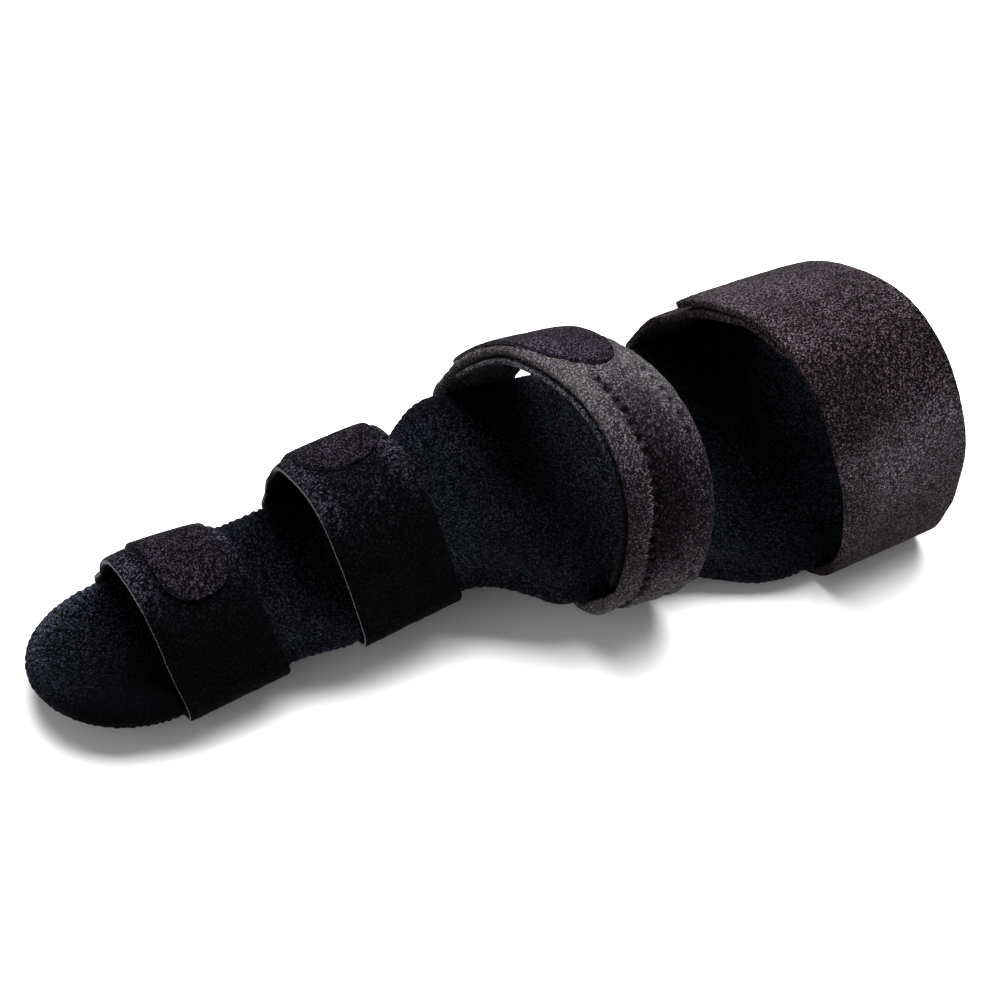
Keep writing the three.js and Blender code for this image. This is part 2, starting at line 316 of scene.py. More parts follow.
def tray_surface():
    """The tray on a grid of places round its outline and places over its section. A section runs from the
    middle of the upper face, dished by a parabola, out to the rim, round a half circle and back under."""
    along, across = tray_outline()
    ridge_along = np.clip(along, NOSE_LENGTH, RIDGE_END)
    ridge_across = sum(tray_edges(ridge_along)) / 2
    reach = np.hypot(ridge_along - along, ridge_across - across)[:, None]
    loop = np.hypot(np.diff(np.append(along, along[0])), np.diff(np.append(across, across[0])))
    girth = np.concatenate([[0.0], np.cumsum(loop)])
    turn = girth[:-1, None] / girth[-1]
    level = TRAY_THICKNESS / 2
    top = np.linspace(1.0, 0.0, TOP_POINTS)[:-1] ** TOP_CROWDING
    angle = np.linspace(np.pi / 2, -np.pi / 2, RIM_POINTS)
    under = np.linspace(0.0, 1.0, UNDER_POINTS)[1:]
    parts = (top, angle, under)
    inward_share = over_section(parts, (top, 0.0, under))
    inward_round = over_section(parts, (level, level * (1 - np.cos(angle)), level))
    inward = inward_round + (reach - level) * inward_share
    dish = over_section(parts, (1.0 - (1.0 - top) ** 2, 0.0, 0.0))
    height = over_section(parts, (TRAY_THICKNESS, level * (1 + np.sin(angle)), 0.0)) - TRAY_DISH * dish
    outward = over_section(parts, (0.0, np.cos(angle), 0.0))
    upward = over_section(parts, (1.0, np.sin(angle), -1.0))
    upper = upward > 0.5
    lower = upward < -0.5
    apart = np.where(lower, UNDERSIDE_APART, 0.0)
    where_along = along[:, None] + (ridge_along - along)[:, None] * inward / reach
    where_across = across[:, None] + (ridge_across - across)[:, None] * inward / reach
    gathers = round(girth[-1] / GATHER_PITCH)
    wander = GATHER_WANDER * uneven(girth[:-1, None], 0.0, WANDER_SPREAD, seed=3)
    fold_height = FOLD_HEIGHT + FOLD_CHANGE * uneven(girth[:-1, None], 9.0, FOLD_SPREAD, seed=4)
    folds = np.cos(2 * np.pi * gathers * turn + wander) * fold_height
    from_rim = inward + np.where(upper, 0.0, GATHER_LOWER * level)
    proud = GATHER_DEPTH * folds * (1.0 - eased(from_rim, GATHER_FADE * level, GATHER_REACH))
    proud = proud + TRAY_NAP * uneven(where_along, where_across + apart, TRAY_TUFT, seed=5)
    swell = TRAY_SWELL * uneven(where_along, where_across + apart, SWELL_SPREAD, seed=6)
    proud = proud + swell * (upward > -0.5)
    inward = inward - proud * outward
    curl = TIP_CURL * np.clip(1.0 - where_along / TIP_CURL_REACH, 0.0, 1.0) ** 2
    height = height + proud * upward + curl
    where_along = along[:, None] + (ridge_along - along)[:, None] * inward / reach
    where_across = across[:, None] + (ridge_across - across)[:, None] * inward / reach
    points = on_tray(where_along, 0.0, where_across, height)
    unrolled = over_section(parts, (0.0, level * (np.pi / 2 - angle - 1 + np.cos(angle)), 0.0))
    beyond = np.where(lower, 2.0 * inward + level * (np.pi - 2.0), unrolled)
    map_in = (inward - beyond) / reach
    map_along = along[:, None] + (ridge_along - along)[:, None] * map_in
    map_across = across[:, None] + (ridge_across - across)[:, None] * map_in
    # Painted light on the rim and on the crests of its folds, with painted shade in their hollows
    lit_rim = eased(where_across, *LIT_ACROSS) * (1.0 - eased(where_along, *LIT_ALONG))
    rim_painted_light = RIM_PAINTED_HIGHLIGHT * (RIM_SHADE + (1.0 - RIM_SHADE) * lit_rim)
    rim_painted_light = rim_painted_light * (1.0 - eased(inward, *RIM_REACH)) * (1.0 + FOLD_PAINTED_LIGHT * folds)
    # Painted shade on the thumb's side of the fingertip end and painted light on the little finger's side
    tip_painted_shading = np.interp(where_across, TIP_PAINTED_LIGHT[:, 0], TIP_PAINTED_LIGHT[:, 1])
    painted_light_and_nap = (1.0 + rim_painted_light) * (1.0 + (tip_painted_shading - 1.0) * (1.0 - eased(where_along, *TIP_FADE)))
    return points, np.stack([map_along, map_across], axis=-1), painted_light_and_nap


def ring_faces(rows, columns):
    """Faces of a grid whose rows close on themselves: each joins a point with the next along and over."""
    row, column = np.meshgrid(np.arange(rows), np.arange(columns - 1), indexing="ij")
    here = row * columns + column
    after = (row + 1) % rows * columns + column
    return np.stack([here, after, after + 1, here + 1], axis=-1).reshape(-1, 4)


def new_mesh(name, points, faces, cloth_uv=None, point_values=None):
    """A smooth mesh of points and faces. The cloth map, in metres, gives a place on the cloth for each
    face corner, and each set of point values becomes an attribute that the material can read."""
    mesh = bpy.data.meshes.new(name)
    mesh.from_pydata(points.reshape(-1, 3).tolist(), [], faces)
    if cloth_uv is not None:
        layer = mesh.uv_layers.new(name="cloth")
        layer.data.foreach_set("uv", np.ascontiguousarray(cloth_uv, np.float32).ravel())
    for label, values in (point_values or {}).items():
        attribute = mesh.attributes.new(label, "FLOAT", "POINT")
        attribute.data.foreach_set("value", np.ascontiguousarray(values, np.float32).ravel())
    mesh.polygons.foreach_set("use_smooth", np.ones(len(mesh.polygons), bool))
    mesh.update()
    return linked(name, mesh)


def close_seams(piece, within):
    """Joins the points of a mesh that lie within a distance of each other."""
    work = bmesh.new()
    work.from_mesh(piece.data)
    bmesh.ops.remove_doubles(work, verts=work.verts, dist=within)
    bmesh.ops.dissolve_degenerate(work, edges=work.edges, dist=within)
    work.to_mesh(piece.data)
    work.free()


# Loop cloth: how much a low lightness, as where painted shade lies, raises the power of its fibres' shares,
# the tints of single fibres, the lightness, as where painted light lies, by which these give way to the
# plain colour and how far, and the dark and light specks of cut foam
SPARSER = 3.0
WARM_TINT = (1.28, 0.98, 0.84)
COOL_TINT = (0.72, 1.02, 1.16)
PLAIN_TONE = 1.1
PLAIN_SHARE = 0.85
CUT_COLOUR = (0.12, 0.12, 0.127)
DARK_SPECK = (0.4, 0.4, 0.4)
LIGHT_SPECK = (1.5, 1.5, 1.5)
# The scale of the noise that clumps the fibres, the spread in mm of the one that rubs the nap, and what
# they range over: the middle of the noise, and factors on a fibre's share
CLUMP_SCALE = 0.4
RUB_SPREAD = 17.0
NOISE_RANGE = {"From Min": 0.3, "From Max": 0.7}
CLUMP_RANGE = {"To Min": 0.6, "To Max": 1.3}
RUB_RANGE = {"To Min": 0.6, "To Max": 1.4}
# The same dull surface for every cloth
CLOTH_SURFACE = {
    "Roughness": 0.95,
    "Specular IOR Level": 0.02,
    "Sheen Weight": 0.005,
    "Sheen Roughness": 0.4,
    "Sheen Tint": (0.62, 0.58, 0.64, 1.0),
}
BUMP_STRENGTH = 0.8
BUMP_SHARE = 0.5


def worked(tree, operation, *values, **settings):
    """The output of a node that works out one step of arithmetic."""
    inputs = dict(enumerate(values))
    return shade(tree, "ShaderNodeMath", inputs, operation=operation, **settings).outputs[0]


def ranged(tree, value, limits):
    """The output of a node that carries a value from one range over to another."""
    return shade(tree, "ShaderNodeMapRange", {"Value": value, **limits}).outputs[0]


def mixed(tree, share, first, second, **settings):
    """The output of a node that goes from the first colour to the second by a share."""
    ends = {"Factor": share, "A": first, "B": second}
    return shade(tree, "ShaderNodeMix", ends, data_type="RGBA", **settings).outputs[2]


def opaque(*colours):
    """The product of colours, part by part, with full opacity."""
    return (*np.prod(colours, axis=0).tolist(), 1.0)


def pile_cloth(name, deep, tip, fibre, power, cut_colour=CUT_COLOUR, haze=0.0, dusk=(1.0, 1.0, 1.0)):
    """Brushed loop cloth. On the cloth map, cells the size of a laid fibre each get a random share, raised
    to a power so that few are bright, and a random tint; a soft noise clumps them and a broad one rubs the
    nap in patches. The share goes from the deep to the tip colour. The lightness attribute, the nap's own
    lightness with painted light and shade laid on it, scales it, and a haze adds to it by that attribute's
    square, so that the haze is brightest in painted light. A low lightness, as in painted shade, raises the
    power and lets the tints and the dusk colour show, and where the cut attribute is set the speckled foam
    shows."""
    made, tree, out = empty_material(name)
    place = shade(tree, "ShaderNodeTexCoord", {}).outputs["Object"]
    on_cloth = shade(tree, "ShaderNodeUVMap", {}, uv_map="cloth").outputs[0]
    painted_light_and_nap = shade(tree, "ShaderNodeAttribute", {}, attribute_name="painted_light_and_nap").outputs["Fac"]
    cut = shade(tree, "ShaderNodeAttribute", {}, attribute_name="cut").outputs["Fac"]
    for_each_fibre = (1.0 / (MM * fibre[0]), 1.0 / (MM * fibre[1]), 1.0)
    laid = shade(tree, "ShaderNodeMapping", {"Vector": on_cloth, "Scale": for_each_fibre}).outputs[0]
    cells = shade(tree, "ShaderNodeTexVoronoi", {"Vector": laid, "Scale": 1.0}, voronoi_dimensions="2D")
    shares = shade(tree, "ShaderNodeSeparateColor", {0: cells.outputs["Color"]}).outputs
    low = worked(tree, "SUBTRACT", 1.0, painted_light_and_nap, use_clamp=True)
    sparse = worked(tree, "MULTIPLY_ADD", low, SPARSER, power)
    speck = worked(tree, "POWER", shares[0], sparse)
    clumping = {"Vector": laid, "Scale": CLUMP_SCALE, "Detail": 1.0, "Roughness": 0.6}
    clumps = shade(tree, "ShaderNodeTexNoise", clumping, noise_dimensions="2D").outputs[0]
    rubbing = {"Vector": place, "Scale": 1.0 / (MM * RUB_SPREAD), "Detail": 1.0, "Roughness": 0.5}
    rubbed = shade(tree, "ShaderNodeTexNoise", rubbing).outputs[0]
    tufted = worked(tree, "MULTIPLY", speck, ranged(tree, clumps, {**NOISE_RANGE, **CLUMP_RANGE}))
    worn = worked(tree, "MULTIPLY", tufted, ranged(tree, rubbed, {**NOISE_RANGE, **RUB_RANGE}))
    misted = worked(tree, "ADD", worn, worked(tree, "MULTIPLY", painted_light_and_nap, haze))
    share = worked(tree, "MULTIPLY", misted, painted_light_and_nap)
    tint = mixed(tree, shares[1], opaque(WARM_TINT, tip, dusk), opaque(COOL_TINT, tip, dusk))
    plain = ranged(tree, painted_light_and_nap, {"From Max": PLAIN_TONE, "To Max": PLAIN_SHARE})
    tinted = mixed(tree, plain, tint, opaque(tip))
    cloth = mixed(tree, share, opaque(deep), tinted, clamp_factor=False)
    foam = mixed(tree, shares[2], opaque(DARK_SPECK, cut_colour), opaque(LIGHT_SPECK, cut_colour))
    shown = mixed(tree, cut, cloth, foam)
    bumps = {"Height": clumps, "Strength": BUMP_STRENGTH, "Distance": BUMP_SHARE * MM * fibre[0]}
    bump = shade(tree, "ShaderNodeBump", bumps).outputs[0]
    look = {"Base Color": shown, "Normal": bump, **CLOTH_SURFACE}
    skin = shade(tree, "ShaderNodeBsdfPrincipled", look)
    tree.links.new(skin.outputs[0], out.inputs["Surface"])
    return made


tray_points, tray_map, tray_painted_light = tray_surface()
tray_faces = ring_faces(*tray_points.shape[:2])
corner_map = MM * tray_map.reshape(-1, 2)[tray_faces.ravel()]
tray = new_mesh("padded_tray", tray_points, tray_faces.tolist(), corner_map, {"painted_light_and_nap": tray_painted_light})
close_seams(tray, SAME_PLACE)
tray_cloth = pile_cloth(
    "tray_loop_cloth",
    deep=(0.0004, 0.0005, 0.0007),
    tip=(0.0120, 0.0133, 0.0192),
    fibre=(0.26, 0.34),
    power=4.0,
)
tray.data.materials.append(tray_cloth)
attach(tray, "root")
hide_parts("splint_body")

# The two finger straps: strips of loop cloth bonded to thin foam, cut straight, so the pale foam shows
# along their edges. Each goes round the tray and the fingers, and its two ends meet under its tab.
FINGER_CLOTH = 1.5
LEAN_LEVEL = 15.0
# Station along the tray, width, lean for each mm of height, the rounds (across, height, radius) that shape
# the loop's inner face over the tray, and its bow: how far it swells between two rounds and in the middle,
# its flare for each mm across on the far side, and how far its edges curl in
DISTAL = (34.9, 23.0, -0.06, [(-4.2, 16.0, 8.4), (0.7, 15.7, 8.5)], (0.5, 0.0, -0.13, 0.9))
PROXIMAL = (74.3, 23.0, -0.06, [(-8.2, 22.3, 9.5), (1.5, 25.3, 4.6)], (0.6, 0.6, -0.03, 0.8))
# Courses: mm from the crown, turn, and lift of the inner face over the band's level
DISTAL_COURSE = [(-21, 0, 0), (-21.4, 1, 0)]
PROXIMAL_COURSE = [(-24, 0, 0), (-24.4, 1, 0)]
# Loops: the points worked out round one, the heights between which it comes free of the tray, and the
# heights and the ways out to the far side between which it comes to flare
BELT_POINTS = 2881
FREE_HEIGHTS = (5.0, 14.0)
FLARE_HEIGHTS = (9.0, 20.0)
FLARE_WAYS = (-0.2, 0.6)
# Bands: points over an edge and, at the least, over an end, and how much closer those of an end lie;
# depth and spread in mm of the edges' wander, of their fray and of the swell
EDGE_POINTS = 8
END_POINTS = 4
END_CROWDING = 2.2
EDGE_WANDER = (0.22, 11.0)
EDGE_FRAY = (0.05, 1.3)
BAND_SWELL = (0.12, 17.0)
# Edges of bands: radius and half the way round as shares of the thickness, and how much wider the radius
# is on the underside for a lower wall
EDGE_RADIUS = 0.45
EDGE_HALF_WAY = 0.4
UNDERCUT = 3.0
# Cut foam: its height on the edge at the crown, how much less it is beyond these marks and on the
# underside, and the length over which it starts
CUT_HEIGHT = 1.25
CUT_LESS = 0.35
CUT_LESS_MARKS = (0.0, 12.0)
CUT_UNDER = 0.7
CUT_FADE = 5.0
# Tufts of the pile and the swell under them: height, spread in mm, and seed
FINGER_TUFTS = [(0.07, 0.6, 41), (0.05, 1.4, 42), (0.06, 6.0, 43)]
# Painted light on the finger straps: its level on the sides, in painted shade, more on top, and a painted
# sheen along the low and the high edge; the marks where the top goes and comes back and between which the
# edges show;
# the edges' places across
SIDE_PAINTED_SHADE = 0.2
TOP_PAINTED_LIGHT = 0.66
LOW_EDGE_PAINTED_SHEEN = 2.6
HIGH_EDGE_PAINTED_SHEEN = 2.9
TOP_GOES = (-4.0, 18.0)
TOP_COMES = (65.0, 85.0)
EDGES_SHOWN = (-23.0, -15.0, -2.0, 12.0)
LOW_EDGE = (-9.5, -5.0)
HIGH_EDGE = (5.5, 9.5)


def belt_of(strap, level):
    """The loop round a strap's rounds and the tray's two edges. Its reach in each direction is that of the
    round that reaches furthest, and over the tray the log of the sum of exponentials of all the reaches, so
    that it swells between them. A place is the reach along the way out plus its slope along the way round.
    Returns the distance from the crown, the place and the way out."""
    near, far = tray_edges(np.array(strap[0]))
    edge = TRAY_THICKNESS / 2
    sides = [(float(near) + edge, edge, edge + GAP), (float(far) - edge, edge, edge + GAP)]
    rounds = np.array(list(strap[3]) + sides)
    angle = np.pi / 2 + np.linspace(0.0, 2 * np.pi, BELT_POINTS)
    out = np.stack([np.cos(angle), np.sin(angle)], axis=1)
    way_round = np.stack([-out[:, 1], out[:, 0]], axis=1)
    reaches = out @ rounds[:, :2].T + rounds[:, 2]
    carrier = reaches.argmax(axis=1)
    taut = rounds[carrier, :2] + rounds[carrier, 2:] * out
    most = reaches.max(axis=1)
    swell = strap[4][0] / np.log(2.0)
    soft = most + swell * np.log(np.exp((reaches - most[:, None]) / swell).sum(axis=1))
    soft_slope = np.gradient(soft, angle)
    swollen = soft[:, None] * out + soft_slope[:, None] * way_round
    free = eased(taut[:, 1:], *FREE_HEIGHTS)
    place = taut + (swollen - taut) * free + level * out
    at = np.concatenate([[0.0], np.cumsum(np.linalg.norm(np.diff(place, axis=0), axis=1))])
    return at, place, out


def on_belt(strap, belt, at, lift, x):
    """Points, in metres, at a distance along a belt, lifted along its way out and set across it. Above the
    tray the middle bows out, the far side flares in a straight line across, and the edges curl in by the
    fourth power of the distance from the middle."""
    station, width, lean, _, (_, middle, flare, curl) = strap
    marks, place, out = belt
    round_at = np.mod(at, marks[-1])
    out_y = np.interp(round_at, marks, out[:, 0])
    out_z = np.interp(round_at, marks, out[:, 1])
    size = np.hypot(out_y, out_z)
    y = np.interp(round_at, marks, place[:, 0])
    z = np.interp(round_at, marks, place[:, 1])
    flared = flare * x * eased(out_y / size, *FLARE_WAYS) * eased(z, *FLARE_HEIGHTS)
    bow = middle - curl * (2.0 * x / width) ** 4
    lift = lift + flared + bow * eased(z, *FREE_HEIGHTS)
    y = y + lift * out_y / size
    z = z + lift * out_z / size
    return on_tray(np.array(station), x + lean * (z - LEAN_LEVEL), y, z)


def lift_of(course, length, at):
    """Lift of a course at a distance along it, eased from one row to the next."""
    rows = np.array([(mark + turn * length, lift) for mark, turn, lift in course])
    after = np.clip(np.searchsorted(rows[:, 0], at, side="right"), 1, len(rows) - 1)
    share = eased(at, rows[after - 1, 0], rows[after, 0])
    return rows[after - 1, 1] + (rows[after, 1] - rows[after - 1, 1]) * share


def band_section(across, edge_points, square):
    """A cloth's section as a chain from its high edge over its face to its low edge: how far each point is
    set in from its edge in edge radii, its share of the way over, and its rise, from a rounded square."""
    angle = np.linspace(0.0, np.pi / 2, edge_points)[:-1]
    inset = 1.0 - np.cos(angle) ** (2.0 / square)
    rise = np.sin(angle) ** (2.0 / square)
    flat = np.linspace(0.0, 1.0, across)
    insets = np.concatenate([inset, np.ones(across), inset[::-1]])
    shares = np.concatenate([np.zeros(len(angle)), flat, np.ones(len(angle))])
    rises = np.concatenate([rise, np.ones(across), rise[::-1]])
    return insets, shares, rises


def tube_faces(rows, columns):
    """Faces of a grid whose columns close on themselves, and the row and the column where each starts."""
    row, column = np.meshgrid(np.arange(rows - 1), np.arange(columns), indexing="ij")
    here = row * columns
    there = here + columns
    after = (column + 1) % columns
    faces = np.stack([here + column, here + after, there + after, there + column], axis=-1)
    return faces.reshape(-1, 4), row, column


def even_tone(at, across):
    """The same nap all over a cloth."""
    return np.ones_like(across)


def cloth_band(
    name, strap, course, level, width, thickness, relief,
    step=0.4, shift=0.0, skew=0.0, corners=((0.4, 0.4), (0.4, 0.4)), waist=np.zeros_like,
    edge=None, wall=1.0, square=3.2, cut_rise=0.0, cut_from=-900.0, painted_light_and_nap=even_tone, nap=1.0, seed=1,
):
    """A band of cloth along a course round a strap's loop. Rows run along the course and columns round the
    section; the outer face is lifted by relief(at, across), and ladders of faces close the ends. Shift and
    skew set the band aside, corners give the length and depth of the round cuts at its end, and waist(at)
    draws in the low edge. Edge, wall and square are the radius, the height and the squareness of the edges.
    Cut foam shows on the low edge up to a rise and from a mark on; the lightness function of (at, across)
    times nap gives the nap's lightness with the painted light and shade laid on it. Returns the piece and
    its flat size in metres."""
    corners = np.array(corners)
    belt = belt_of(strap, level)
    length = belt[0][-1]
    start = course[0][0] + course[0][1] * length
    end = course[-1][0] + course[-1][1] * length
    tip = corners[:, 0].max()
    end_turns = np.linspace(0.0, np.pi / 2, int(END_CROWDING * tip / step) + END_POINTS)
    close = end - tip * (1.0 - np.sin(end_turns))
    at = np.concatenate([np.arange(start, end - tip, step), close])[:, None]
    insets, shares, rises = band_section(int(width / step), EDGE_POINTS, square)
    middle = shift + skew * (at - end) + EDGE_WANDER[0] * uneven(at, 0.0, EDGE_WANDER[1], seed + 20)
    low_corner, high_corner = [deep / far * round_off(end - at, far) for far, deep in corners]
    low_fray = EDGE_FRAY[0] * uneven(at, 0.0, EDGE_FRAY[1], seed + 21)
    high_fray = EDGE_FRAY[0] * uneven(at, 5.0, EDGE_FRAY[1], seed + 22)
    low = middle - width / 2 + low_corner + waist(at) + low_fray
    high = middle + width / 2 - high_corner + high_fray
    lift = lift_of(course, length, at) + BAND_SWELL[0] * uneven(at, 0.0, BAND_SWELL[1], seed + 30)
    top_edge = EDGE_RADIUS * thickness if edge is None else edge
    top_x = (high - top_edge * insets) * (1.0 - shares) + (low + top_edge * insets) * shares
    bottom_edge = top_edge * (1.0 + UNDERCUT * (1.0 - wall))
    bottom_x = (high - bottom_edge * insets) * (1.0 - shares) + (low + bottom_edge * insets) * shares
    seat = thickness * (1.0 - wall)
    top_h = seat + (thickness - seat) * (0.5 + 0.5 * rises) + relief(at, top_x) * rises
    bottom_h = (seat + (thickness - seat) * 0.5) * (1.0 - rises)
    top = on_belt(strap, belt, at, lift + top_h, top_x)
    bottom = on_belt(strap, belt, at, lift + bottom_h, bottom_x)

    chain = top.shape[1]
    inner = np.arange(chain - 2, 0, -1)
    points = np.concatenate([top, bottom[:, inner]], axis=1)
    rows, columns = points.shape[:2]
    faces, row, column = tube_faces(rows, columns)
    last = (rows - 1) * columns
    rung = np.arange(1, chain - 2)
    partner = columns - rung
    first_cap = np.stack([partner, partner - 1, rung + 1, rung], axis=-1)
    first_tips = np.array([(columns - 1, 1, 0), (chain, chain - 1, chain - 2)])
    ends = [first_cap, (first_cap + last)[:, ::-1], first_tips, (first_tips + last)[:, ::-1]]
    every_face = faces.tolist() + [face for cap in ends for face in cap.tolist()]

    across = np.concatenate([top_x, bottom_x[:, inner]], axis=1)
    edge_run = EDGE_HALF_WAY * thickness * np.where(shares < 0.5, 1.0, -1.0) * (1.0 - rises)
    top_map = top_x + edge_run
    low_end = top_map[:, -1:]
    under_map = 2.0 * low_end - (bottom_x + edge_run)
    map_x = np.concatenate([top_map, under_map[:, inner], 2.0 * low_end - top_map[:, :1]], axis=1)
    cloth_map = np.stack([np.broadcast_to(at, map_x.shape), map_x], axis=-1)
    corners_of = [(row, column), (row, column + 1), (row + 1, column + 1), (row + 1, column)]
    quad_map = np.stack([cloth_map[place] for place in corners_of], axis=2).reshape(-1, 2)
    deep = np.broadcast_to(thickness * (np.arange(columns) >= chain), across.shape)
    end_map = np.stack([at + deep, across], axis=-1).reshape(-1, 2)
    end_corners = np.concatenate([cap.ravel() for cap in ends])
    every_map = np.concatenate([quad_map, end_map[end_corners]])

    cut_reach = cut_rise * (CUT_HEIGHT - CUT_LESS * eased(at, *CUT_LESS_MARKS))
    cut_reach = cut_reach * np.where(np.arange(columns) < chain, 1.0, CUT_UNDER)
    on_low_edge = np.concatenate([shares, shares[inner]]) > 0.5
    cut = (np.concatenate([rises, rises[inner]]) < cut_reach) & on_low_edge
    cut = cut * eased(at, cut_from, cut_from + CUT_FADE)
    # The lightness at each point: the nap's own, with the painted light and shade laid on it
    tones = nap * np.broadcast_to(painted_light_and_nap(at, across), across.shape)
    piece = new_mesh(name, points, every_face, MM * every_map, {"cut": cut, "painted_light_and_nap": tones})
    flat_size = (MM * width, MM * float(end - start))
    return piece, flat_size


def layered(layers, at, x):
    """Relief of a cloth's face: random hills of several sizes, added up."""
    return sum(height * uneven(at, x, spread, seed) for height, spread, seed in layers)


def window(at, marks):
    """Rises from 0 to 1 between the first two marks and falls back between the last two."""
    return eased(at, marks[0], marks[1]) * (1.0 - eased(at, marks[2], marks[3]))


def finger_pile(at, x):
    """Relief of the finger straps' outer face: tufts of loop pile over a slight swell."""
    return layered(FINGER_TUFTS, at, x)


def finger_painted_shading(at, x):
    """Painted light on the finger straps: lightest on top and in a painted sheen along the two edges, and
    painted shade down the thumb's side."""
    top = 1.0 - eased(at, *TOP_GOES) + eased(at, *TOP_COMES)
    edges = LOW_EDGE_PAINTED_SHEEN * (1.0 - eased(x, *LOW_EDGE)) + HIGH_EDGE_PAINTED_SHEEN * eased(x, *HIGH_EDGE)
    return SIDE_PAINTED_SHADE + TOP_PAINTED_LIGHT * top + edges * window(at, EDGES_SHOWN)


finger_cloth = pile_cloth(
    "finger_loop_cloth",
    deep=(0.0004, 0.0004, 0.0006),
    tip=(0.0185, 0.0172, 0.0252),
    fibre=(0.24, 0.36),
    power=4.0,
)
for strap_name, node_name, strap, course, seed in [
    ("distal_strap_band", "distal_finger_strap", DISTAL, DISTAL_COURSE, 100),
    ("proximal_strap_band", "proximal_finger_strap", PROXIMAL, PROXIMAL_COURSE, 200),
]:
    piece, flat_size = cloth_band(
        strap_name, strap, course, 0.0, strap[1], FINGER_CLOTH, finger_pile,
        wall=0.7, cut_rise=0.55, cut_from=-18.0, painted_light_and_nap=finger_painted_shading, seed=seed,
    )
    piece.data.materials.append(finger_cloth)
    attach(piece, "root")
    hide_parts(node_name)

# The hook tabs: knitted patches whose underside carries the hooks. Each is sewn to a strap's end and
# pressed down on the loop cloth, with its free end cut round.
HAND_CLOTH = 2.6
TAB_CLOTH = 1.0
TAB_PRESS = 0.1
# Station, width, lean, rounds and bow, as for the finger straps
HAND_ROUNDS = [
    (-27.5, 9.5, 9.8),
    (-30.6, 14.6, 7.4),
    (-18.1, 25.6, 21.2),
    (2.5, 26.8, 10.4),
    (12.0, 14.5, 9.0),
]
HAND = (120.0, 23.0, -0.2, HAND_ROUNDS, (1.2, 0.3, 0.0, 0.4))
# Courses, and how each tab lies and is cut. The finger tabs are darker than the hand strap's
DISTAL_TAB = [(-33, 0, 0), (10.4, 0, 0)]
PROXIMAL_TAB = [(-37, 0, 0), (-0.7, 0, 0)]
HAND_TAB = [(-58, 0, 0), (-10.6, 0, 0)]
DISTAL_CUT = {"width": 15.0, "shift": 1.6, "skew": -0.03, "corners": ((6.5, 6.0), (6.5, 6.0)), "nap": 0.55}
PROXIMAL_CUT = {"width": 18.0, "shift": 0.75, "corners": ((8.0, 8.0), (8.0, 8.0)), "nap": 0.55}
HAND_CUT = {"width": 19.0, "shift": -0.7, "corners": ((22.0, 9.6), (15.0, 7.6)), "nap": 0.82}
# Bumps of the knit: height, spread in mm, and seed
KNIT_BUMPS = [(0.05, 0.55, 51), (0.05, 4.0, 52)]


def tab_knit(at, x):
    """Relief of a hook tab's outer face: the fine bumps of its knit."""
    return layered(KNIT_BUMPS, at, x)


knit_cloth = pile_cloth(
    "hook_tab_knit",
    deep=(0.0010, 0.0008, 0.0012),
    tip=(0.076, 0.062, 0.086),
    fibre=(0.26, 0.28),
    power=3.0,
    cut_colour=(0.045, 0.043, 0.048),
)
for tab_name, node_name, strap, course, under, seed, tab_cut in [
    ("distal_tab_knit", "distal_hook_tab", DISTAL, DISTAL_TAB, FINGER_CLOTH, 100, DISTAL_CUT),
    ("proximal_tab_knit", "proximal_hook_tab", PROXIMAL, PROXIMAL_TAB, FINGER_CLOTH, 200, PROXIMAL_CUT),
    ("hand_tab_knit", "hand_hook_tab", HAND, HAND_TAB, HAND_CLOTH, 300, HAND_CUT),
]:
    piece, flat_size = cloth_band(
        tab_name, strap, course, under - TAB_PRESS, thickness=TAB_CLOTH, relief=tab_knit,
        step=0.35, cut_rise=0.3, seed=seed, **tab_cut,
    )
    piece.data.materials.append(knit_cloth)
    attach(piece, "root")
    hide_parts(node_name)

# The hand strap: a thicker, fuzzier loop pile bonded to foam, which closes round the tray and the hand.
# Two seams sink into it, and a furrow with a pit at each stitch runs beside the one on the fingers' side.
HAND_COURSE = [(-40, 0, 0), (-40.4, 1, 0)]
HAND_TUFTS = [(0.19, 0.8, 61), (0.12, 1.6, 62), (0.1, 5.0, 63)]
# Distance along the strap from the crown and place across of the furrow; its depth, width, wander with its
# spread, and the marks between which it comes and goes
FURROW = np.array([(-8.0, -4.3), (2.0, -4.2), (14.0, -3.9), (22.0, -4.5), (31.0, -5.9), (45.0, -5.5)])
FURROW_DEPTH = 1.1
FURROW_WIDTH = 0.95
FURROW_WANDER = (0.3, 9.0)
FURROW_MARKS = (-10.0, -2.0, 108.0, 116.0)
# The pits: pitch, mean depth and change as shares of the furrow's, and wander in radians with its spread
PIT_PITCH = 2.9
PIT_MEAN = 0.72
PIT_CHANGE = 0.28
PIT_WANDER = (1.2, 5.0)
# The seams: place across from the furrow, and depth of the thread under the pile's face; their troughs
SEAMS = {"fingers_side_seam": (-1.9, 0.6), "elbow_side_seam": (12.2, 0.76)}
TROUGH_DEPTH = 0.22
TROUGH_WIDTH = 1.2
